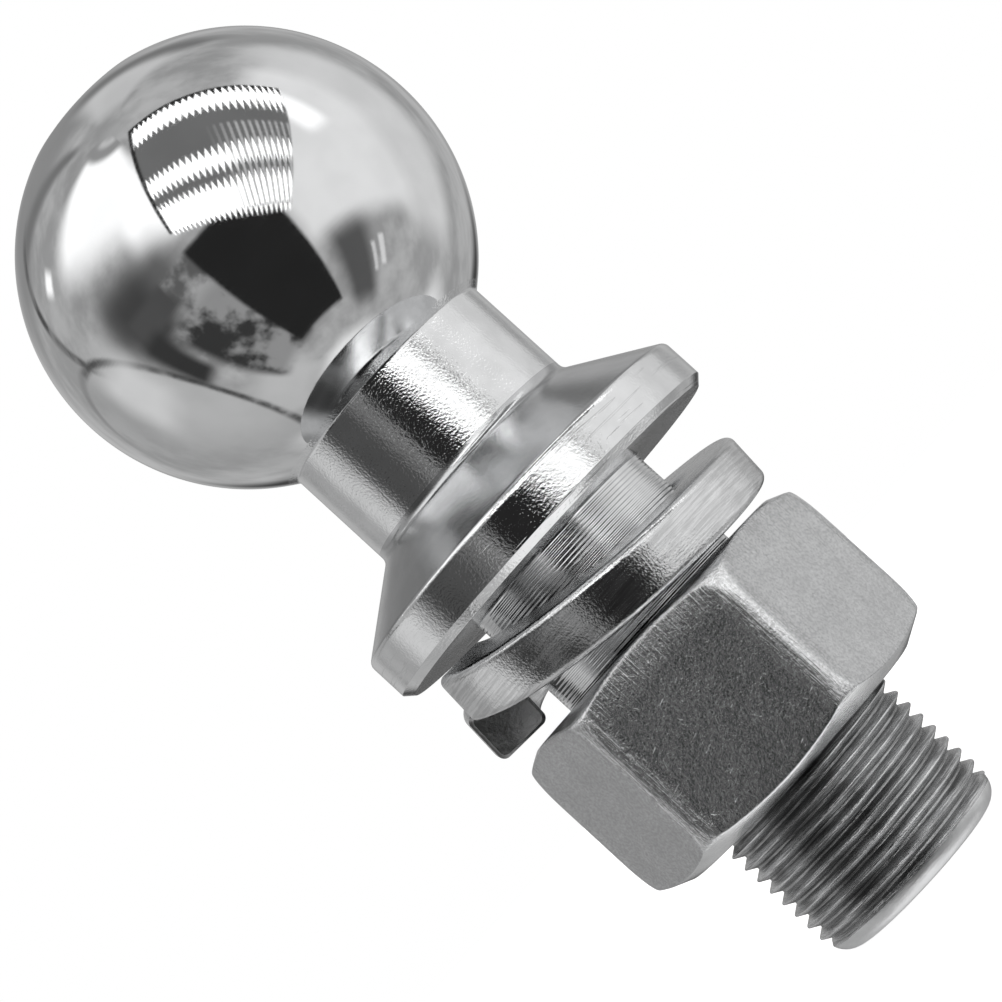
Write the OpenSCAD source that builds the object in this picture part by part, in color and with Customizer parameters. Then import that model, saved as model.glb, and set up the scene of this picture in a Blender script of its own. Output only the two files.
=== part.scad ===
// Trailer hitch ball: one-piece forged and turned ball stud, split lock washer and hex nut.
// Millimetres. Z = 0 is the flange seat that rests on the drawbar; +Z points to the ball and
// -Z to the threaded end of the shank. +X and -Y are the sides seen when the ball lies on its back.

/* [Ball] */
// Ball diameter, 2 in nominal
ball_d = 50.8; // [49.5:0.1:51.5]
// Height of the ball's centre above the seat
ball_z = 46.2; // [44:0.1:56]
// Diameter of the flat turned on top of the ball
top_flat_d = 19; // [8:0.5:22]

/* [Neck and flange] */
// Neck diameter, 1-1/8 in nominal
neck_d = 28.6; // [26:0.1:31]
// Height of the corner where the neck meets the flange's cone
neck_foot_z = 12.2; // [10.5:0.1:14]
// Radius of the small fillet at the neck's foot
neck_fillet = 1.2; // [0.4:0.1:2]
// Flange diameter, 1-7/8 in nominal
flange_d = 47.6; // [44:0.1:52]
// Height of the rim's upper edge above the seat
rim_top_z = 5.7; // [4.5:0.1:7]
// Radius on the rim's upper edge
rim_round = 0.9; // [0.3:0.1:1.5]
// Bevel round the underside of the rim
rim_bevel = 0.95; // [0.5:0.05:1.5]

/* [Shank] */
// Shank diameter, 1 in nominal
shank_d = 25.4; // [25.2:0.05:25.6]
// Shank length below the seat
shank_l = 53.2; // [52:0.1:60]
// Length of the plain shank above the thread
plain_l = 13.5; // [12:0.1:13.6]
// Depth the rounded end starts at, measured from the tip
tip_l = 2.6; // [1.5:0.1:3]

/* [Thread] */
// Threads per inch
tpi = 14; // [12:1:16]
// Major diameter of the thread, just under the shank's
thread_d = 25.3; // [25.1:0.05:25.3]
// Thread depth as a share of the pitch
thread_depth = 0.6; // [0.5:0.01:0.62]

/* [Nut] */
// Width across flats, 1-1/2 in nominal
nut_af = 37.5; // [36.8:0.1:38.1]
// Thickness
nut_h = 21.7; // [20:0.1:23]
// Depth of the nut's upper face below the seat
nut_z = 13.75; // [13.7:0.05:15]
// Radius along the six corners
nut_corner_r = 2; // [1:0.1:3]
// Diameter of the upper face inside its chamfer
nut_face_top_d = 35.6; // [34:0.1:36.5]
// Diameter of the lower face inside its chamfer
nut_face_low_d = 34; // [32:0.1:36.5]
// Chamfer angle of both faces
nut_chamfer = 30; // [25:1:35]
// Clear diameter through the nut, over the thread's crests
nut_bore_d = 25.4; // [25.35:0.01:25.45]
// Lead-in at each mouth of the bore
nut_mouth = 1; // [0.5:0.1:1.5]
// Turn of the nut about the shank
nut_turn = -6.6; // [-30:0.1:30]

/* [Lock washer] */
// Outer diameter
washer_od = 42.3; // [41:0.1:43]
// Inner diameter
washer_id = 28.6; // [28.4:0.1:29.2]
// Thickness of the coil
washer_t = 6; // [5.4:0.1:6]
// Rounding of the coil's edges
washer_round = 0.7; // [0.4:0.1:1.2]
// Rise from one cut end to the other
washer_rise = 5.1; // [3.5:0.1:5.1]
// Turn of the upper cut end from the front
washer_end = -71; // [-75:1:-65]
// Angle of the gap between the cut ends
washer_gap = 8; // [6:1:12]
// How far the loose washer leans forward on the shank
washer_lean_x = 9.1; // [7:0.1:9.1]
// How far the loose washer leans to the right
washer_lean_y = 4.6; // [3:0.1:4.6]
// Height of the washer's middle, below the seat
washer_z = 8.03; // [8:0.01:8.1]
// How far the loose washer sits off the shank's axis, to the back
washer_drop = 1; // [0.5:0.1:1.1]

/* [Hidden] */

steel = [0.78, 0.79, 0.80];

ball_r = ball_d / 2;
neck_r = neck_d / 2;
flange_r = flange_d / 2;
shank_r = shank_d / 2;
pitch = 25.4 / tpi;
crest_r = thread_d / 2;
root_r = crest_r - thread_depth * pitch;
top_flat_z = ball_z + sqrt(ball_r * ball_r - top_flat_d * top_flat_d / 4);
cone_a = atan2(neck_foot_z - rim_top_z, flange_r - neck_r);
n_turns = floor((shank_l - plain_l - tip_l) / pitch);

// points on an arc, from angle a0 to a1, in n steps
function arc(c, r, a0, a1, n) = [for (i = [0 : n]) let (a = a0 + (a1 - a0) * i / n) c + r * [cos(a), sin(a)]];

// ---- ball stud ----

// centre of the concave fillet between the neck and the cone
fillet_c = [neck_r + neck_fillet,
            neck_foot_z + neck_fillet * tan(45 - cone_a / 2)];
// centre of the round on the rim's upper edge
rim_c = [flange_r - rim_round, rim_top_z - rim_round * tan(45 - cone_a / 2)];

// one V of the thread, from its upper root to its lower one
function thread_v(z) = [
    [root_r, z + 0.43 * pitch], [crest_r, z + 0.07 * pitch],
    [crest_r, z - 0.07 * pitch], [root_r, z - 0.43 * pitch]];

function stud_profile() = concat(
    [[0, ball_z], [neck_r, ball_z]],
    arc(fillet_c, neck_fillet, 180, 270 - cone_a, 5),
    arc(rim_c, rim_round, 90 - cone_a, 0, 5),
    [[flange_r, rim_bevel], [flange_r - rim_bevel * 1.05, 0], [shank_r, 0],
     [shank_r, -plain_l + 0.6], [root_r, -plain_l]],
    [for (i = [0 : n_turns - 1]) each thread_v(-plain_l - (i + 0.55) * pitch)],
    [[root_r, -shank_l + tip_l + 0.1]],
    arc([crest_r - tip_l - 0.3, -shank_l + tip_l], tip_l, -18, -90, 6),
    [[0, -shank_l]]);

module ball_stud() color(steel) union() {
    difference() {
        translate([0, 0, ball_z]) sphere(r = ball_r, $fn = 180);
        translate([0, 0, top_flat_z]) cylinder(r = ball_r, h = ball_r, $fn = 90);
    }
    rotate_extrude($fn = 180) polygon(stud_profile());
}

// ---- split lock washer ----

washer_rm = (washer_od + washer_id) / 4;
washer_w = (washer_od - washer_id) / 2;
washer_steps = 88;

// cross-section of the coil: a rectangle with rounded edges, about its own centre
washer_section = [for (q = [[1, 1, 0], [-1, 1, 90], [-1, -1, 180], [1, -1, 270]])
    each arc([q[0] * (washer_w / 2 - washer_round), q[1] * (washer_t / 2 - washer_round)],
             washer_round, q[2], q[2] + 90, 4)];

// the section carried round from the upper end (front left, clockwise from above is the way down)
function washer_ring(i) =
    let (f = i / washer_steps, a = washer_end + (360 - washer_gap) * f)
    [for (p = washer_section)
        [(washer_rm + p[0]) * sin(a), -(washer_rm + p[0]) * cos(a), washer_rise * (0.5 - f) + p[1]]];

module lock_washer() color(steel * 0.95) {
    m = len(washer_section);
    translate([-0.3, washer_drop, -washer_z]) rotate([washer_lean_x, washer_lean_y, 0])
        polyhedron(
            points = [for (i = [0 : washer_steps]) each washer_ring(i)],
            faces = concat(
                [[for (j = [m - 1 : -1 : 0]) j]],
                [[for (j = [0 : m - 1]) washer_steps * m + j]],
                [for (i = [0 : washer_steps - 1]) for (j = [0 : m - 1])
                    each [[i * m + j, (i + 1) * m + (j + 1) % m, (i + 1) * m + j],
                          [i * m + j, i * m + (j + 1) % m, (i + 1) * m + (j + 1) % m]]]),
            convexity = 6);
}

// ---- hex nut ----

nut_corner = nut_af / sqrt(3);                          // from the axis to a sharp corner
nut_round_at = nut_corner - nut_corner_r / cos(30);     // centre of each corner's round
nut_reach = nut_corner + 1;

// hexagon with rounded corners, a flat to the front
nut_outline = [for (a = [0 : 60 : 300])
    each arc(nut_round_at * [cos(a), sin(a)], nut_corner_r, a - 30, a + 30, 5)];

// turned shape that chamfers both faces
function nut_turned() = [
    [0, 0], [nut_face_top_d / 2, 0],
    [nut_reach, -(nut_reach - nut_face_top_d / 2) * tan(nut_chamfer)],
    [nut_reach, -nut_h + (nut_reach - nut_face_low_d / 2) * tan(nut_chamfer)],
    [nut_face_low_d / 2, -nut_h], [0, -nut_h]];

function nut_hole() = let (r = nut_bore_d / 2) [
    [0, 1], [r + nut_mouth + 1, 1], [r, -nut_mouth], [r, -nut_h + nut_mouth],
    [r + nut_mouth + 1, -nut_h - 1], [0, -nut_h - 1]];

module hex_nut() color(steel * 0.9)
    translate([0, 0, -nut_z]) rotate([0, 0, nut_turn]) difference() {
        intersection() {
            translate([0, 0, -nut_h - 1]) linear_extrude(nut_h + 2) polygon(nut_outline);
            rotate_extrude($fn = 120) polygon(nut_turned());
        }
        rotate_extrude($fn = 120) polygon(nut_hole());
    }

ball_stud();
lock_washer();
hex_nut();
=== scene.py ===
import math

import bmesh
import bpy
from mathutils import Matrix, Vector


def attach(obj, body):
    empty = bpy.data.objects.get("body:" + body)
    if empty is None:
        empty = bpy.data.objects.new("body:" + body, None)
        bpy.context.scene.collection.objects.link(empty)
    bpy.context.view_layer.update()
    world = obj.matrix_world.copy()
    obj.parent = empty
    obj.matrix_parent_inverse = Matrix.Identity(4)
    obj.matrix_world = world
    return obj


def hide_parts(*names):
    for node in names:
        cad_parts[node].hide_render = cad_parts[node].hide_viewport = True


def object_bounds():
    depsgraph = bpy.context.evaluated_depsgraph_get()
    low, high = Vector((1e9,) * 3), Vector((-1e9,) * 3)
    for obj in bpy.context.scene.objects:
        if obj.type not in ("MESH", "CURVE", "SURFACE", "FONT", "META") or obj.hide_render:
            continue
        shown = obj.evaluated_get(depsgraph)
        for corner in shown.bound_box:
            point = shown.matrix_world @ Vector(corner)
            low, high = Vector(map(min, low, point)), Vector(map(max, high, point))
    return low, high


# The looks of a trailer hitch ball: chromed ball stud, split lock washer and hex nut.
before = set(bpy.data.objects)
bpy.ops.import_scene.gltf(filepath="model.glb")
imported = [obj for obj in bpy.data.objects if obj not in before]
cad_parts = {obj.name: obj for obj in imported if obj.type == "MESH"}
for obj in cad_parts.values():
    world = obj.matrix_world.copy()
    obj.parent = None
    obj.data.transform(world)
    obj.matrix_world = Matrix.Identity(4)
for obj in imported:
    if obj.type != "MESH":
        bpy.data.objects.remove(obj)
cad_low, cad_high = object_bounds()

# ---------------------------------------------------------------- sizes, in millimetres
MM = 0.001
COLUMNS = 192            # steps round every turned shape

BALL_R = 25.4
BALL_Z = 46.2
BALL_STEPS = 110
TOP_FLAT_R = 9.5
TOP_FLAT_EDGE = ((-0.12, 0.03), (0.06, 0.09), (0.25, 0.2))    # how far out and down its worn edge goes
NECK_R = 14.3
NECK_FOOT_Z = 12.2
NECK_JOIN = 2.5          # degrees above the neck's edge at which the ball gives way to the fillet
FLANGE_R = 23.8
RIM_TOP_Z = 5.7
RIM_BEVEL = 0.95
SHANK_R = 12.7
SHANK_END_Z = -53.2
LONGEST_STEP = 1.2       # between two rings of the neck, flange or shank
TIP_ROUND = 2.6
TIP_INSET = 0.3          # from the thread's crests in to the tip's side
PITCH = 25.4 / 14
CREST_R = 12.65
ROOT_R = CREST_R - 0.6 * PITCH
THREAD_TOP_Z = -13.5
THREAD_END_Z = SHANK_END_Z + 1.9
THREAD_RUN_IN = 1.2
THREAD_RUN_OUT = 0.9

NUT_AF = 37.5
NUT_TOP_Z = -13.75
NUT_LOW_Z = NUT_TOP_Z - 21.7
NUT_CORNER_R = 2
NUT_FACE_TOP_R = 18.35
NUT_FACE_LOW_R = 17
NUT_CHAMFER = 26         # degrees
NUT_MOUTH_R = 13.7
NUT_TURN = -6.6          # degrees
NUT_MINOR_R = 11.85
NUT_MAJOR_R = 12.76
NUT_SWELL = 4.5          # how much rounder the corners are at the chamfers than at mid-height
NUT_SWELL_DEPTH = 4.7    # depth below a chamfer at which the corners have their own radius
NUT_EDGE_WEAR = 0.28     # how far in the chamfers' outer edges are worn
NUT_ARC_STEPS = 8
NUT_FLAT_SHARES = (0.02, 0.06, 0.14, 0.24, 0.36, 0.5, 0.64, 0.76, 0.86, 0.94, 0.98)
NUT_SIDE = ((0.02, 0.12), (0.14, 0.04), (0.3, 0.008), (0.5, 0), (0.9, 0), (1.5, 0), (2.3, 0), (3.3, 0),
            (NUT_SWELL_DEPTH, 0))    # depth below the chamfer, and how far in the flat is worn there

WASHER_MID_R = 17.725
WASHER_W = 6.85
WASHER_T = 6.2
WASHER_ROUND = 0.9
WASHER_RISE = 5.6        # how far one end of the coil stands above the other
WASHER_END = -71         # degrees from the front to the upper end
WASHER_GAP = 8           # degrees
WASHER_LEAN = (9.8, 4.9)    # degrees about X and Y
WASHER_PLACE = (-0.3, 1.03, -7.32)
WASHER_STEPS = 220
WASHER_ARC_STEPS = 7
CUT_INSET = 1.6          # from the bar's skin in to the first ring of a cut face
CUT_WEAR = (0.35, 0.3, 0.12, 0)    # how far in the rings of a cut end's broken edge are
CUT_WEAR_STEP = 0.0009   # share of the coil between those rings


# ---------------------------------------------------------------- mesh helpers
def make_object(name, grid, materials, sharp=38):
    """A smooth-shaded mesh object from a grid in millimetres, with edges of more than sharp degrees kept."""
    mesh = bpy.data.meshes.new(name)
    mesh.from_pydata([(x * MM, y * MM, z * MM) for x, y, z in grid.verts], [], grid.faces)
    for material in materials:
        mesh.materials.append(material)
    mesh.polygons.foreach_set("material_index", grid.materials)
    bm = bmesh.new()
    bm.from_mesh(mesh)
    bmesh.ops.remove_doubles(bm, verts=bm.verts, dist=1e-7)
    bmesh.ops.dissolve_degenerate(bm, edges=bm.edges, dist=1e-7)
    bm.to_mesh(mesh)
    bm.free()
    mesh.validate()
    mesh.shade_smooth()
    mesh.set_sharp_from_angle(angle=math.radians(sharp))
    obj = bpy.data.objects.new(name, mesh)
    bpy.context.scene.collection.objects.link(obj)
    return obj


def arc(cx, cz, radius, start, end, steps):
    """Points on an arc, angles in degrees."""
    turns = [math.radians(start + (end - start) * i / steps) for i in range(steps + 1)]
    return [(cx + radius * math.cos(a), cz + radius * math.sin(a)) for a in turns]


def rounded_corner(before, corner, after, radius, steps=5):
    """The points that round off a corner, and one more on each side to keep the straights shaded flat."""
    here = Vector(corner)
    back = (Vector(before) - here).normalized()
    on = (Vector(after) - here).normalized()
    half = back.angle(on) / 2
    centre = here + (back + on).normalized() * radius / math.sin(half)
    first = here + back * radius / math.tan(half)
    last = here + on * radius / math.tan(half)
    start = math.atan2(*(first - centre).yx)
    sweep = (math.atan2(*(last - centre).yx) - start + math.pi) % (2 * math.pi) - math.pi
    support = radius * 0.3
    points = arc(*centre, radius, math.degrees(start), math.degrees(start + sweep), steps)
    return [tuple(first + back * support)] + points + [tuple(last + on * support)]


def rounded(corners):
    """A (r, z) outline through corners (r, z, radius), with an arc at each corner that has a radius."""
    points = []
    for i, (r, z, radius) in enumerate(corners):
        if radius:
            points += rounded_corner(corners[i - 1][:2], (r, z), corners[i + 1][:2], radius)
        else:
            points.append((r, z))
    return points


def divided(points, longest):
    """The same outline with no straight stretch longer than longest."""
    result = [points[0]]
    for a, b in zip(points, points[1:]):
        n = max(1, math.ceil(math.dist(a, b) / longest))
        result += [(a[0] + (b[0] - a[0]) * k / n, a[1] + (b[1] - a[1]) * k / n) for k in range(1, n + 1)]
    return result


class Grid:
    """Rings of points joined into one closed skin, with a material for each band of faces."""

    def __init__(self):
        self.verts, self.faces, self.materials, self.last = [], [], [], None

    def ring(self, points, material=0, helix=False):
        """Adds a ring and joins it to the ring before. A ring of one point closes the skin, and a helical
        ring brings its own last point, a pitch away from its first. Points that meet are merged later."""
        if len(points) > 1 and not helix:
            points = points + points[:1]
        start = len(self.verts)
        self.verts += points
        now = list(range(start, len(self.verts)))
        if self.last is not None:
            self.join(self.last, now, material)
        self.last = now

    def join(self, a, b, material):
        """A band of faces between two rings, one of which may be a single point."""
        for i in range(max(len(a), len(b)) - 1):
            if len(a) == 1:
                face = (a[0], b[i + 1], b[i])
            elif len(b) == 1:
                face = (a[i], a[i + 1], b[0])
            else:
                face = (a[i], a[i + 1], b[i + 1], b[i])
            self.faces.append(face)
            self.materials.append(material)

    def turn(self, outline, material):
        """Rings round the axis through the points (r, z) of an outline."""
        for r, z in outline:
            self.ring(turned_ring(r, z), material)


def turned_ring(r, z):
    """A level ring of COLUMNS points, clockwise seen from above, or one point on the axis."""
    if r == 0:
        return [(0, 0, z)]
    turns = [-2 * math.pi * i / COLUMNS for i in range(COLUMNS)]
    return [(r * math.cos(a), r * math.sin(a), z) for a in turns]


def thread_rings(angles, top, bottom, form, trim):
    """Rings of a right-hand thread from z = top down to z = bottom, through the angles given for them.
    form is one pitch as (share of the pitch, radius), and trim(r, z) says what is left of it there."""
    rings = []
    turns = math.ceil((top - bottom) / PITCH) + 2
    for k in range(turns * len(form)):
        share, radius = form[k % len(form)]
        down = k // len(form) + share - 1
        points = []
        for a in angles:
            z = max(bottom, min(top, top - (down - a / (2 * math.pi)) * PITCH))
            r = trim(radius, z)
            points.append((r * math.cos(a), r * math.sin(a), z))
        rings.append(points)
    return rings


def eased(t):
    """0 to 1 with a soft start and end."""
    t = max(0, min(1, t))
    return t * t * (3 - 2 * t)


# ---------------------------------------------------------------- ball stud
BALL, NECK, CONE, RIM, SHANK, THREAD, TIP = range(7)


def turn_ball(grid):
    """The flat on top with its worn edge, and the ball down to the fillet above the neck."""
    top_z = BALL_Z + math.sqrt(BALL_R ** 2 - TOP_FLAT_R ** 2)
    top_angle = math.degrees(math.asin(TOP_FLAT_R / BALL_R))
    neck_angle = math.degrees(math.asin(NECK_R / BALL_R))
    grid.turn([(r, top_z) for r in (0, 3, 6, 8, TOP_FLAT_R - 0.35)], BALL)
    grid.turn([(TOP_FLAT_R + out, top_z - down) for out, down in TOP_FLAT_EDGE], BALL)
    grid.turn(arc(0, BALL_Z, BALL_R, 90 - top_angle - 1.5, -90 + neck_angle + NECK_JOIN, BALL_STEPS), BALL)


def turn_flange(grid):
    """Neck, cone, rim, flat seat and plain shank."""
    ball_end = math.asin(NECK_R / BALL_R) + math.radians(NECK_JOIN)
    junction_z = BALL_Z - math.sqrt(BALL_R ** 2 - NECK_R ** 2)
    outline = rounded([
        (BALL_R * math.sin(ball_end), BALL_Z - BALL_R * math.cos(ball_end), 0),
        (NECK_R, junction_z - 0.05, 0.4),
        (NECK_R, NECK_FOOT_Z, 1.2),
        (FLANGE_R, RIM_TOP_Z, 0.9),
        (FLANGE_R, RIM_BEVEL, 0.12),
        (FLANGE_R - RIM_BEVEL * 1.05, 0, 0.15),
        (SHANK_R, 0, 0.4),
        (SHANK_R, THREAD_TOP_Z, 0)])
    for r, z in divided(outline[1:], LONGEST_STEP):
        grid.ring(turned_ring(r, z), flange_material(z))


def flange_material(z):
    """Which of the stud's metals a height has, from the neck down to the plain shank."""
    for above, material in ((NECK_FOOT_Z + 0.9, NECK), (RIM_TOP_Z - 0.1, CONE), (-0.2, RIM)):
        if z > above:
            return material
    return SHANK


def turn_thread(grid):
    """The thread, and the rounded tip that it runs out on."""
    angles = [-2 * math.pi * i / COLUMNS for i in range(COLUMNS + 1)]
    flank = ROOT_R + 0.93 * (CREST_R - ROOT_R)
    form = [(0.07, ROOT_R), (0.42, flank), (0.46, CREST_R), (0.54, CREST_R), (0.58, flank), (0.93, ROOT_R),
            (1, ROOT_R)]
    tip_in, tip_z = CREST_R - TIP_ROUND - TIP_INSET, SHANK_END_Z + TIP_ROUND

    def trim(r, z):
        r = SHANK_R + (r - SHANK_R) * eased((THREAD_TOP_Z - z) / THREAD_RUN_IN)
        drop = min(max(tip_z - z, 0), TIP_ROUND)
        tip = tip_in + math.sqrt(TIP_ROUND ** 2 - drop ** 2)
        r = tip + (r - tip) * eased((z - THREAD_END_Z) / THREAD_RUN_OUT)
        return min(r, tip) if z < tip_z else r

    for points in thread_rings(angles, THREAD_TOP_Z, THREAD_END_Z, form, trim):
        grid.ring(points, THREAD, helix=True)
    first = math.degrees(math.asin((THREAD_END_Z - tip_z) / TIP_ROUND))
    grid.turn(arc(tip_in, tip_z, TIP_ROUND, first, -90, 8)[1:], TIP)
    grid.turn([(r, SHANK_END_Z) for r in (6, 3, 0)], TIP)


def ball_stud(materials):
    """Ball, neck, flange and shank turned as one skin, from the flat on top down to the tip."""
    grid = Grid()
    turn_ball(grid)
    turn_flange(grid)
    turn_thread(grid)
    return make_object("ball_stud_turned", grid, materials)


# ---------------------------------------------------------------- lock washer
WASHER_SKIN, WASHER_CUT = range(2)


def bar_section():
    """The washer's bar in section: points (out, up) from its middle, rounded at the corners."""
    out, up = WASHER_W / 2 - WASHER_ROUND, WASHER_T / 2 - WASHER_ROUND
    section = []
    for x, y, start in ((out, up, 0), (-out, up, 90), (-out, -up, 180), (out, -up, 270)):
        section += arc(x, y, WASHER_ROUND, start, start + 90, WASHER_ARC_STEPS)
    return section


def coil_ring(section, share, inset=0):
    """The bar's section at a share of the way round the coil, drawn in by inset."""
    lean_x, lean_y = (math.radians(a) for a in WASHER_LEAN)
    lean = Matrix.Rotation(lean_y, 4, "Y") @ Matrix.Rotation(lean_x, 4, "X")
    place = Matrix.Translation(WASHER_PLACE) @ lean
    a = math.radians(WASHER_END + (360 - WASHER_GAP) * share)
    points = []
    for x, y in section:
        r = WASHER_MID_R + x * (1 - inset / (WASHER_W / 2))
        z = WASHER_RISE * (0.5 - share) + y * (1 - inset / (WASHER_T / 2))
        points.append(tuple(place @ Vector((r * math.sin(a), -r * math.cos(a), z))))
    return points


def lock_washer(materials):
    """One left-hand coil of rounded bar, cut at both ends and leaning on the shank."""
    section = bar_section()
    middle = [(0, 0)]
    worn = len(CUT_WEAR) - 1
    grid = Grid()
    grid.ring(coil_ring(middle, 0))
    grid.ring(coil_ring(section, 0, CUT_INSET), WASHER_CUT)
    for k, inset in enumerate(CUT_WEAR):
        grid.ring(coil_ring(section, k * CUT_WEAR_STEP, inset), WASHER_CUT)
    for k in range(1, WASHER_STEPS):
        share = (1 - 2 * worn * CUT_WEAR_STEP) * k / WASHER_STEPS
        grid.ring(coil_ring(section, worn * CUT_WEAR_STEP + share), WASHER_SKIN)
    for k, inset in enumerate(reversed(CUT_WEAR)):
        material = WASHER_CUT if k else WASHER_SKIN
        grid.ring(coil_ring(section, 1 - (worn - k) * CUT_WEAR_STEP, inset), material)
    grid.ring(coil_ring(section, 1, CUT_INSET), WASHER_CUT)
    grid.ring(coil_ring(middle, 1), WASHER_CUT)
    return make_object("lock_washer_coil", grid, materials)


# ---------------------------------------------------------------- hex nut
NUT_FLATS, NUT_FACES, NUT_BORE = range(3)


def hex_outline(corner_r):
    """Points round the nut as (angle, distance from the axis), clockwise, with a round at each corner."""
    corner = NUT_AF / math.sqrt(3) - corner_r / math.cos(math.radians(30))
    flat = 2 * math.sin(math.radians(30)) * corner
    points = []
    for side in range(6):
        a = -60 * side
        cx, cy = corner * math.cos(math.radians(a)), corner * math.sin(math.radians(a))
        points += arc(cx, cy, corner_r, a + 30, a - 30, NUT_ARC_STEPS)
        x, y = points[-1]
        down = math.radians(a - 120)
        for share in NUT_FLAT_SHARES:
            points.append((x + share * flat * math.cos(down), y + share * flat * math.sin(down)))
    outline = []
    for x, y in points:
        a = math.atan2(y, x)
        while outline and a > outline[-1][0]:
            a -= 2 * math.pi
        outline.append((a, math.hypot(x, y)))
    return outline


def corner_radius(depth):
    """How round the nut's corners are at a depth below a chamfer: roundest at the edge, as forged."""
    rest = max(0, 1 - depth / NUT_SWELL_DEPTH)
    return NUT_CORNER_R + NUT_SWELL * (1 - math.sqrt(1 - rest * rest))


def nut_point(angle, r, z):
    """A point of the nut, turned to where the nut stands at rest."""
    turned = angle + math.radians(NUT_TURN)
    return (r * math.cos(turned), r * math.sin(turned), z)


def level_ring(r, z):
    """A round ring with a point at each angle of the nut's outline."""
    return [nut_point(a, r, z) for a, _ in hex_outline(NUT_CORNER_R)]


def chamfer_ring(face_r, face_z, side, share):
    """A ring on a chamfer, share of the way from the face's edge to the flats; side is -1 below a face."""
    slope = math.tan(math.radians(NUT_CHAMFER))
    points = []
    for a, reach in hex_outline(corner_radius(0)):
        r = face_r + (reach - NUT_EDGE_WEAR - face_r) * share
        points.append(nut_point(a, r, face_z + side * (r - face_r) * slope))
    return points


def flat_ring(face_r, face_z, side, depth, pull):
    """A ring on the flats, depth below a chamfer's edge and drawn in by pull."""
    slope = math.tan(math.radians(NUT_CHAMFER))
    edge = hex_outline(corner_radius(0))
    points = []
    for (a, reach), (_, rim) in zip(hex_outline(corner_radius(depth)), edge):
        points.append(nut_point(a, reach - pull, face_z + side * ((rim - face_r) * slope + depth)))
    return points


def nut_bore_rings():
    """The nut's thread from the lower face up, cut away by the 45-degree countersink at each mouth."""
    form = [(0.05, NUT_MAJOR_R), (0.36, NUT_MINOR_R), (0.64, NUT_MINOR_R), (0.95, NUT_MAJOR_R),
            (1, NUT_MAJOR_R)]
    angles = [a + math.radians(NUT_TURN) for a, _ in hex_outline(NUT_CORNER_R)]
    angles.append(angles[0] - 2 * math.pi)

    def trim(r, z):
        return max(r, NUT_MOUTH_R - min(NUT_TOP_Z - z, z - NUT_LOW_Z))

    return reversed(thread_rings(angles, NUT_TOP_Z, NUT_LOW_Z, form, trim))


def hex_nut(materials):
    """Hexagon with both faces chamfered, corners that round off towards them, and a threaded bore."""
    top, low = (NUT_FACE_TOP_R, NUT_TOP_Z, -1), (NUT_FACE_LOW_R, NUT_LOW_Z, 1)
    shares = (0.06, 0.5, 1)
    grid = Grid()
    grid.ring(level_ring(NUT_MOUTH_R, NUT_TOP_Z))
    mouth = grid.last
    for r, drop in ((NUT_MOUTH_R + 0.3, 0), (NUT_FACE_TOP_R - 0.5, 0), (NUT_FACE_TOP_R - 0.12, 0.01)):
        grid.ring(level_ring(r, NUT_TOP_Z - drop), NUT_FACES)
    for share in shares:
        grid.ring(chamfer_ring(*top, share), NUT_FACES)
    for depth, pull in NUT_SIDE:
        grid.ring(flat_ring(*top, depth, pull), NUT_FLATS)
    for depth, pull in reversed(NUT_SIDE):
        grid.ring(flat_ring(*low, depth, pull), NUT_FLATS)
    for share in reversed(shares):
        grid.ring(chamfer_ring(*low, share), NUT_FACES)
    for r, rise in ((NUT_FACE_LOW_R - 0.12, 0.01), (NUT_FACE_LOW_R - 0.5, 0), (NUT_MOUTH_R + 0.3, 0),
                    (NUT_MOUTH_R, 0)):
        grid.ring(level_ring(r, NUT_LOW_Z + rise), NUT_FACES)
    for points in nut_bore_rings():
        grid.ring(points, NUT_BORE, helix=True)
    grid.join(grid.last, mouth, NUT_BORE)
    return make_object("hex_nut_forged", grid, materials)


# ---------------------------------------------------------------- node helpers
class Nodes:
    """Short calls for building a node tree. A value may be a number or an output socket."""

    def __init__(self, tree):
        self.tree = tree
        tree.nodes.clear()

    def add(self, kind, inputs=(), **settings):
        node = self.tree.nodes.new(kind)
        for key, value in settings.items():
            setattr(node, key, value)
        for name, value in dict(inputs).items():
            socket = node.inputs[name]
            if isinstance(value, bpy.types.NodeSocket):
                self.tree.links.new(value, socket)
            else:
                socket.default_value = value
        return node

    def math(self, operation, *values):
        return self.add("ShaderNodeMath", enumerate(values), operation=operation).outputs[0]

    def times(self, *values):
        return self.math("MULTIPLY", *values)

    def dot(self, a, b):
        return self.add("ShaderNodeVectorMath", {0: a, 1: b}, operation="DOT_PRODUCT").outputs["Value"]

    def scaled(self, vector, by):
        return self.add("ShaderNodeVectorMath", {0: vector, 1: by}, operation="MULTIPLY").outputs[0]

    def ramp(self, value, low, high, out_low=0.0, out_high=1.0):
        """out_low up to low, out_high from high on, and an eased change between them."""
        node = self.add("ShaderNodeMapRange", {0: value, 1: low, 2: high, 3: out_low, 4: out_high})
        node.interpolation_type = "SMOOTHSTEP"
        return node.outputs[0]

    def band(self, value, low, high, soft):
        """1 between low and high, falling to 0 over soft at each side."""
        up = self.ramp(value, low - soft / 2, low + soft / 2)
        down = self.ramp(value, high - soft / 2, high + soft / 2, 1.0, 0.0)
        return self.times(up, down)

    def mix(self, a, b, share):
        return self.add("ShaderNodeMix", {"Factor": share, "A": a, "B": b}).outputs[0]

    def noise(self, vector, scale, detail=2.0, roughness=0.5):
        return self.add("ShaderNodeTexNoise", {
            "Vector": vector, "Scale": scale, "Detail": detail, "Roughness": roughness}).outputs[0]


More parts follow.
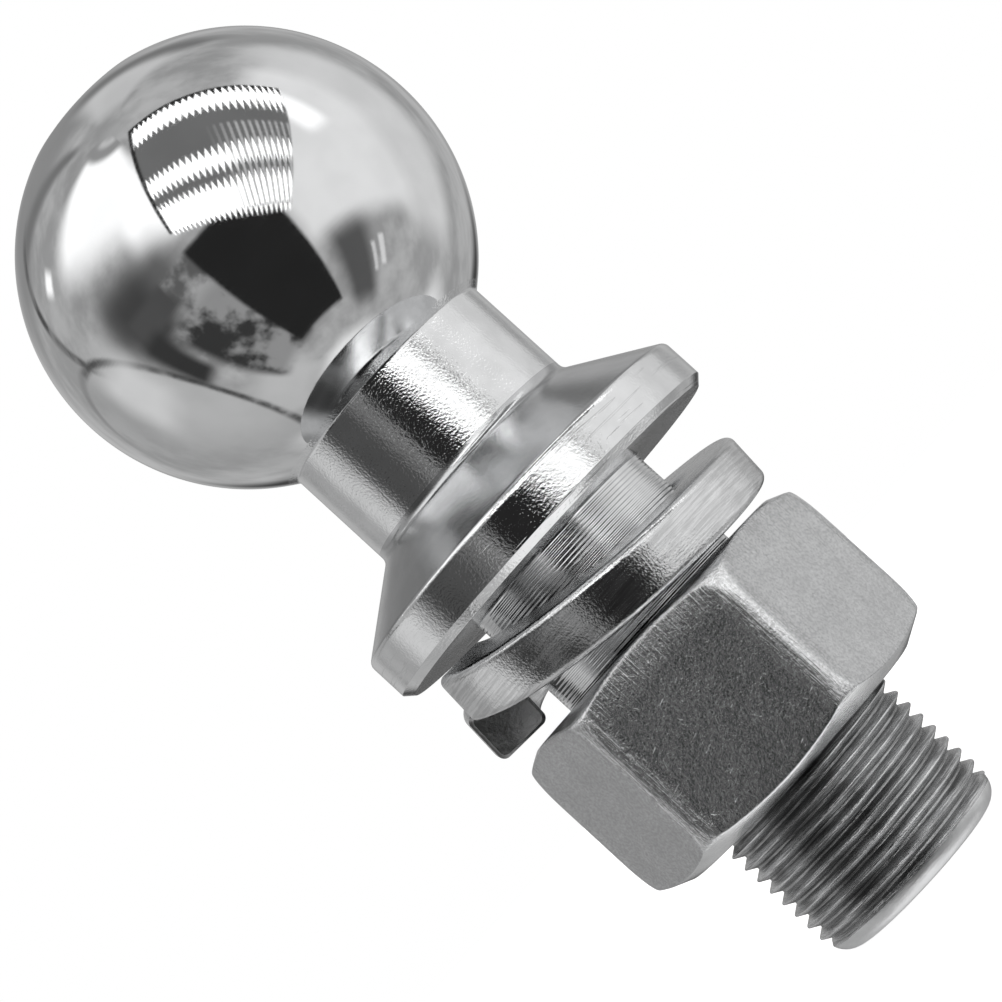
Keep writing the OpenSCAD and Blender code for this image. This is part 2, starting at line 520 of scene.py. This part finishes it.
# ---------------------------------------------------------------- studio
# The room's walls and panels, later ones over earlier ones: middle azimuth, width, lowest and highest
# height, and how soft the edge is, all in degrees, then brightness. Azimuth 0 is the front, and + is to the
# right. A mottled wall has its darkest and lightest brightness, and the half width of the step between them
# in the room's clouds.
WALLS = (
    # the floor, and low panels at the back and on the left
    (0, 360, -95, -74, 10, 1.0),
    (180, 110, -82, -46, 16, 0.95),
    (-69, 62, -72, -44, 16, 0.54),
    # the back wall, in darker and lighter parts
    (-163, 44, 22, 62, 20, 0.28),
    (163, 36, 50, 76, 12, 0.60),
    (163, 34, 38, 48, 10, 0.20),
    (180, 40, -16, -1, 10, 0.06),
    (-147, 12, 36, 74, 10, 0.20),
    # bright panels above and to the left of the window
    (-52, 92, 42, 86, 20, 1.25),
    (-24, 28, 24, 60, 14, 1.25),
    # dark shapes on the left, and mottled ones nearer the front
    (-52, 58, 2, 30, 22, 0.13),
    (-58, 30, -10, 26, 20, 0.06),
    (-50, 34, 0, 13, 5, 0.08),
    (-64, 14, -28, 2, 8, 0.04),
    (-26, 24, -12, 13, 5, (0.12, 0.40, 0.10)),
    (-30, 48, -58, -6, 8, (0.04, 0.30, 0.08)),
    # the pale right side with a bright panel, and one small lamp on the left
    (113, 34, -34, 42, 16, 0.70),
    (-114, 8, 38, 44, 4, 1.2),
    (66, 70, -28, 44, 12, 0.84),
    (76, 12, 12, 32, 8, 1.4),
    # a dark box low on the right, with two thin lamps in it
    (51, 26, -64, -28, 14, 0.10),
    (65, 3, -52, -40, 2, 0.65),
    (72, 4, -50, -38, 2, 0.75),
    # the ceiling
    (-60, 120, 79, 85, 4, 0.32),
    (0, 360, 86, 95, 9, 0.42),
    # a black flag in front
    (5, 48, -57, 14, 3, 0.02),
)

BENCH_MIDDLE = (-0.873, 0.335, -0.353)
BENCH_LINE = (-0.037, 0.648, -0.760)    # square to the plane of the line that runs on from the bench's edge

# The window's own directions: along its louvres, which run down to the right, up across them, and square
# to it.
WINDOW_ALONG = (0.827, 0.099, -0.553)
WINDOW_UP = (0.342, 0.692, 0.636)
WINDOW_SQUARE = (0.446, -0.715, 0.538)
LOUVRES = ((0.52, 0.76), (-0.12, 0.04), (-0.60, -0.27))    # lowest and highest place of each bright one
TOOTH = 0.026            # half the spacing of the teeth on the louvres' edges


class Room(Nodes):
    """The world's node tree. Everything in it is far away and is told apart by its direction alone."""

    def __init__(self, world):
        super().__init__(world.node_tree)
        self.way = self.add("ShaderNodeTexCoord").outputs["Generated"]
        x, y, z = self.add("ShaderNodeSeparateXYZ", {0: self.way}).outputs
        self.azimuth = self.math("DEGREES", self.math("ARCTAN2", x, self.times(y, -1.0)))
        self.height = self.math("DEGREES", self.math("ARCSINE", z))
        self.clouds = self.noise(self.way, 2.6, 4.0, 0.62)
        self.light = self.mix(0.34, 0.50, self.ramp(self.clouds, 0.35, 0.65))

    def paint(self, level, where):
        """Gives a brightness to the directions where the mask is 1."""
        self.light = self.mix(self.light, level, where)


def paint_walls(room):
    for middle, width, low, high, soft, level in WALLS:
        if isinstance(level, tuple):
            dark, pale, half = level
            level = room.mix(dark, pale, room.ramp(room.clouds, 0.5 - half, 0.5 + half))
        off = room.math("PINGPONG", room.math("SUBTRACT", room.azimuth, float(middle)), 180.0)
        across = room.ramp(off, (width - soft) / 2, (width + soft) / 2, 1.0, 0.0)
        room.paint(level, room.times(across, room.band(room.height, low, high, soft)))


def paint_bench(room):
    """A round bench on the left, with a dark edge that runs on upwards, and a pale patch above it."""
    bench = room.dot(room.way, BENCH_MIDDLE)
    near = room.ramp(room.azimuth, -160.0, -100.0)
    inside = room.times(room.ramp(bench, 0.795, 0.815), near)
    room.paint(room.ramp(room.azimuth, -145.0, -85.0, 0.33, 0.50), inside)
    edge = room.times(room.band(bench, 0.780, 0.812, 0.025), near)
    tilted = room.band(room.dot(room.way, BENCH_LINE), -0.03, 0.03, 0.04)
    edge = room.math("MAXIMUM", edge, room.times(tilted, room.band(room.azimuth, -152.0, -104.0, 14.0)))
    room.paint(0.06, room.times(edge, room.ramp(room.clouds, 0.36, 0.56, 0.35, 0.95)))
    patch = room.band(room.azimuth, -108.0, -82.0, 16.0)
    room.paint(0.68, room.times(patch, room.band(room.height, -16.0, 10.0, 14.0)))


def paint_window(room):
    """A dark-framed window with three bright, toothed louvres and a hatched lower right part."""
    depth = room.dot(room.way, WINDOW_SQUARE)
    p = room.math("DIVIDE", room.dot(room.way, WINDOW_ALONG), room.math("MAXIMUM", depth, 0.05))
    q = room.math("DIVIDE", room.dot(room.way, WINDOW_UP), room.math("MAXIMUM", depth, 0.05))
    tooth = room.math("PINGPONG", room.math("ADD", p, room.times(q, 0.12)), TOOTH)
    cut = room.times(room.math("SUBTRACT", tooth, TOOTH / 2), room.ramp(p, -0.3, 0.5, 3.6, 7.5))
    toothed_q = room.math("ADD", q, cut)
    inside = room.times(room.band(p, -0.70, 0.58, 0.03), room.ramp(depth, 0.3, 0.35))
    framed = room.times(room.band(p, -0.75, 0.58, 0.03), room.ramp(depth, 0.3, 0.35))
    room.paint(0.03, room.times(framed, room.band(q, -0.60, 0.84, 0.03)))
    room.paint(0.17, room.times(inside, room.band(q, -0.58, 0.70, 0.03)))
    for low, high in LOUVRES:
        room.paint(1.9, room.times(inside, room.band(toothed_q, low, high, 0.015)))
    hatch = room.times(room.ramp(tooth, 0.012, 0.018), room.ramp(p, -0.1, 0.2))
    room.paint(0.5, room.times(hatch, room.times(inside, room.band(q, -0.58, 0.30, 0.04))))


def studio():
    """Soft room light that the metal reflects. The backdrop that the camera sees is plain white."""
    world = bpy.data.worlds.new("studio")
    bpy.context.scene.world = world
    world.use_nodes = True
    room = Room(world)
    paint_walls(room)
    paint_bench(room)
    paint_window(room)
    seen = room.add("ShaderNodeLightPath").outputs["Is Camera Ray"]
    strength = room.mix(room.light, 1.0, seen)
    glow = room.add("ShaderNodeBackground", {"Color": (1, 1, 1, 1), "Strength": strength})
    room.add("ShaderNodeOutputWorld", {"Surface": glow.outputs[0]})


def pale_floor():
    """The floor's material, white without a highlight."""
    material = bpy.data.materials.new("pale_floor")
    material.use_nodes = True
    n = Nodes(material.node_tree)
    shader = n.add("ShaderNodeBsdfPrincipled", {
        "Base Color": (0.9, 0.9, 0.9, 1), "Roughness": 0.9, "Specular IOR Level": 0.0,
        "Emission Color": (1, 1, 1, 1), "Emission Strength": 0.72})
    n.add("ShaderNodeOutputMaterial", {"Surface": shader.outputs[0]})
    return material


def floor():
    """A plain round white floor just under the tip of the shank, which the metal doesn't reflect."""
    radius, gap = 2.5, 0.0002
    turns = [math.radians(a) for a in range(0, 360, 5)]
    edge = [(radius * math.cos(a), radius * math.sin(a), 0) for a in turns]
    mesh = bpy.data.meshes.new("floor")
    mesh.from_pydata(edge, [], [list(range(len(edge)))])
    mesh.materials.append(pale_floor())
    obj = bpy.data.objects.new("floor", mesh)
    obj.location.z = cad_low.z - gap
    bpy.context.scene.collection.objects.link(obj)
    obj.visible_glossy = False
    obj.visible_diffuse = False
    obj.visible_shadow = False


def camera():
    """Level with the shank, looking slightly up, and rolled so that the ball is at the upper left."""
    place = (0, -0.3196, -0.01907)
    pitch, yaw, roll = 0.083, -0.003, 0.003    # radians
    lean = math.radians(42.17)                 # of the part's axis in the picture
    forward = Vector((math.sin(yaw) * math.cos(pitch), math.cos(yaw) * math.cos(pitch), math.sin(pitch)))
    right = Vector((math.cos(yaw), -math.sin(yaw), 0))
    up = right.cross(forward)
    right, up = right * math.cos(roll) + up * math.sin(roll), up * math.cos(roll) - right * math.sin(roll)
    across = right * math.sin(lean) - up * math.cos(lean)
    top = right * math.cos(lean) + up * math.sin(lean)
    data = bpy.data.cameras.new("camera")
    data.sensor_width = 36
    data.lens = 105.6
    data.clip_start = 0.01
    data.clip_end = 20
    obj = bpy.data.objects.new("camera", data)
    obj.matrix_world = Matrix.Translation(place) @ Matrix((across, top, -forward)).transposed().to_4x4()
    bpy.context.scene.collection.objects.link(obj)
    bpy.context.scene.camera = obj


# ---------------------------------------------------------------- metal
CHROME = (0.86, 0.865, 0.87)
SATIN = (0.62, 0.625, 0.63)
ZINC = (0.80, 0.805, 0.81)
WORN_ZINC = (0.70, 0.705, 0.71)
DULL = (0.30, 0.30, 0.30)


class Metal(Nodes):
    """The node tree of one metal, whose height and tint are built up pattern by pattern. Places are in
    millimetres; out is the distance from the axis, and lathe a place that changes fast along the axis and
    slowly round it."""

    def __init__(self, name, radial):
        """radial is how far turned marks follow the distance from the axis rather than the height."""
        self.material = bpy.data.materials.new(name)
        self.material.use_nodes = True
        super().__init__(self.material.node_tree)
        self.place = self.scaled(self.add("ShaderNodeTexCoord").outputs["Object"], (1 / MM, 1 / MM, 1 / MM))
        x, y, self.z = self.add("ShaderNodeSeparateXYZ", {0: self.place}).outputs
        self.out = self.math("SQRT", self.math("ADD", self.times(x, x), self.times(y, y)))
        self.along = self.math("ADD", self.times(self.z, 1 - radial), self.times(self.out, radial))
        self.lathe = self.add("ShaderNodeCombineXYZ", {
            0: self.times(x, 0.04), 1: self.times(y, 0.04), 2: self.along}).outputs[0]
        self.height = self.tint = None

    def rise(self, pattern, depth):
        """Raises the surface by depth where the pattern is 1."""
        step = self.times(pattern, depth)
        self.height = step if self.height is None else self.math("ADD", self.height, step)

    def dent(self, pattern, depth):
        """Lowers the surface by depth where the pattern is 1."""
        self.height = self.math("SUBTRACT", self.height, self.times(pattern, depth))

    def shade(self, pattern):
        """Multiplies the colour by a pattern."""
        self.tint = pattern if self.tint is None else self.times(self.tint, pattern)

    def finish(self, colour, roughness):
        """The shader, from the height and the tint."""
        bump = self.add("ShaderNodeBump", {"Height": self.height, "Distance": MM, "Strength": 1.0})
        tinted = {i: self.times(self.tint, c) for i, c in enumerate(colour)}
        tone = self.add("ShaderNodeCombineColor", tinted)
        shader = self.add("ShaderNodeBsdfPrincipled", {
            "Base Color": tone.outputs[0], "Metallic": 1.0, "Roughness": roughness,
            "Normal": bump.outputs[0]})
        self.add("ShaderNodeOutputMaterial", {"Surface": shader.outputs[0]})
        return self.material


def draw_marks(metal, depth):
    """Marks drawn along the nut, near its upper face and at its corners."""
    drawn = metal.noise(metal.scaled(metal.place, (3.6, 3.6, 0.14)), 1.0, 3.0, 0.65)
    near_top = metal.ramp(metal.z, NUT_TOP_Z - 6, NUT_TOP_Z - 1)
    at_corner = metal.ramp(metal.out, 20.3, 21.0)
    metal.rise(drawn, metal.times(metal.math("MAXIMUM", near_top, at_corner), depth))


def turn_lines(metal, depth):
    """A few deeper lines left by the lathe."""
    metal.dent(metal.ramp(metal.noise(metal.lathe, 1.6, 2.0), 0.63, 0.67), depth)


def scratch(metal, depth):
    """Short random scratches in three directions."""
    for turn in (0.5, 1.9, 2.7):
        spun = metal.add("ShaderNodeVectorRotate", {"Vector": metal.place, "Angle": turn},
                         rotation_type="Y_AXIS")
        line = metal.noise(metal.scaled(spun.outputs[0], (3.8, 3.8, 0.5)), 1.0, 0.0)
        metal.dent(metal.ramp(line, 0.80, 0.86), depth)


def wear_corners(metal):
    """Brighter metal where the nut's flats curve in to its corners."""
    reach = 0.0
    for turn in (30, 90, 150):
        a = math.radians(turn + NUT_TURN)
        side = metal.dot(metal.place, (math.cos(a), math.sin(a), 0))
        reach = metal.math("MAXIMUM", reach, metal.math("ABSOLUTE", side))
    metal.shade(metal.ramp(reach, NUT_AF / 2 - 0.16, NUT_AF / 2 - 0.02, 1.4, 1.0))


def plated(name, colour, roughness, haze=0.03, grain=(0.3, 0), octaves=3.0, lumps=(3, 0), rings=0, radial=0,
           tool=(0.4, 0), drag=0, lines=0, scratches=0, streaks=0, corners=False, painted_groove_shade=None):
    """Plated steel; sizes and depths are in millimetres.

    haze is how far the roughness varies. grain and lumps are the (size, depth) of the fine and the slow
    unevenness, and octaves how much finer detail the grain has. rings is the depth of random turning marks,
    tool the (pitch, depth) of the even ones, lines the depth of a few strong ones, and radial how far they
    all follow the distance from the axis rather than the height. drag is the depth of marks drawn along the
    nut, scratches that of short random ones, streaks how dark the streaky spots are, and corners whether the
    nut's corners are worn bright. painted_groove_shade is (radius, radius, darkest): painted shade that
    darkens the metal towards the first radius, the root of a thread's grooves."""
    metal = Metal(name, radial)
    wide = metal.noise(metal.place, 1 / lumps[0], 2.0)
    metal.rise(metal.noise(metal.place, 1 / grain[0], octaves, 0.6), grain[1])
    if lumps[1]:
        metal.rise(wide, lumps[1])
    if rings:
        metal.rise(metal.noise(metal.lathe, 5.0, 3.0, 0.7), rings)
    if tool[1]:
        metal.rise(metal.math("SINE", metal.times(metal.along, 2 * math.pi / tool[0])), tool[1])
    if drag:
        draw_marks(metal, drag)
    if lines:
        turn_lines(metal, lines)
    if scratches:
        scratch(metal, scratches)
    metal.shade(metal.ramp(wide, 0.3, 0.7, 0.92, 1.0))
    drift = metal.lathe if rings else metal.place
    if streaks:
        metal.shade(metal.ramp(metal.noise(drift, 3.0, 4.0, 0.75), 0.40, 0.60, 1 - streaks, 1.0))
    if corners:
        wear_corners(metal)
    # Painted shade: the metal darkens towards the roots of a thread's grooves, the first radius.
    if painted_groove_shade:
        metal.shade(metal.ramp(metal.out, painted_groove_shade[0], painted_groove_shade[1], painted_groove_shade[2], 1.0))
    smear = metal.noise(drift, 3.0 if rings else 1.5, 3.0)
    return metal.finish(colour, metal.ramp(smear, 0.3, 0.7, roughness - haze, roughness + haze))


def chrome_ball():
    return plated("chrome_ball", CHROME, 0.045, haze=0.015, grain=(0.3, 0.0003), lumps=(6, 0.01),
                  rings=0.0008)


def chrome_neck():
    return plated("chrome_neck", CHROME, 0.075, haze=0.015, grain=(0.28, 0.027), octaves=1.0, rings=0.003)


def chrome_cone():
    return plated("chrome_cone", SATIN, 0.16, grain=(0.3, 0.012), lumps=(3, 0.012), rings=0.003, radial=0.5)


def chrome_rim():
    return plated("chrome_rim", CHROME, 0.055, haze=0.015, grain=(0.30, 0.022), octaves=1.0, rings=0.009,
                  lines=0.03)


def chrome_shank():
    return plated("chrome_shank", CHROME, 0.08, grain=(0.3, 0.006), rings=0.004, tool=(0.46, 0.030))


def chrome_thread():
    # Painted shade in the thread's grooves: the metal darkens towards the root radius.
    return plated("chrome_thread", CHROME, 0.22, grain=(0.2, 0.03), rings=0.08, streaks=0.55,
                  painted_groove_shade=(ROOT_R, CREST_R, 0.6))


def chrome_tip():
    return plated("chrome_tip", CHROME, 0.34, grain=(0.3, 0.03), lumps=(2, 0.03), rings=0.02, radial=0.5)


def zinc_washer():
    return plated("zinc_washer", CHROME, 0.16, grain=(0.26, 0.031), octaves=1.0, lumps=(2.5, 0.015),
                  rings=0.008, streaks=0.25)


def zinc_washer_cut():
    return plated("zinc_washer_cut", DULL, 0.35, grain=(0.4, 0.05), lumps=(1.5, 0.08))


def zinc_nut_flats():
    return plated("zinc_nut_flats", WORN_ZINC, 0.24, haze=0.025, grain=(0.3, 0.045), lumps=(4, 0.08),
                  drag=0.14, scratches=0.03, streaks=0.22, corners=True)


def zinc_nut_faces():
    return plated("zinc_nut_faces", CHROME, 0.20, grain=(0.35, 0.02), rings=0.02, radial=1.0)


def zinc_nut_bore():
    # Painted shade in the bore's thread grooves: the metal darkens towards the major radius.
    return plated("zinc_nut_bore", ZINC, 0.25, grain=(0.3, 0.02), painted_groove_shade=(NUT_MAJOR_R, NUT_MINOR_R, 0.3))


# ---------------------------------------------------------------- the object
stud = ball_stud([
    chrome_ball(), chrome_neck(), chrome_cone(), chrome_rim(), chrome_shank(), chrome_thread(),
    chrome_tip()])
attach(stud, "stud")
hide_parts("ball_stud")

washer = lock_washer([zinc_washer(), zinc_washer_cut()])
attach(washer, "washer")
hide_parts("lock_washer")

nut = hex_nut([zinc_nut_flats(), zinc_nut_faces(), zinc_nut_bore()])
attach(nut, "nut")
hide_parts("hex_nut")

bpy.context.scene.view_settings.view_transform = "Standard"
studio()
floor()
camera()
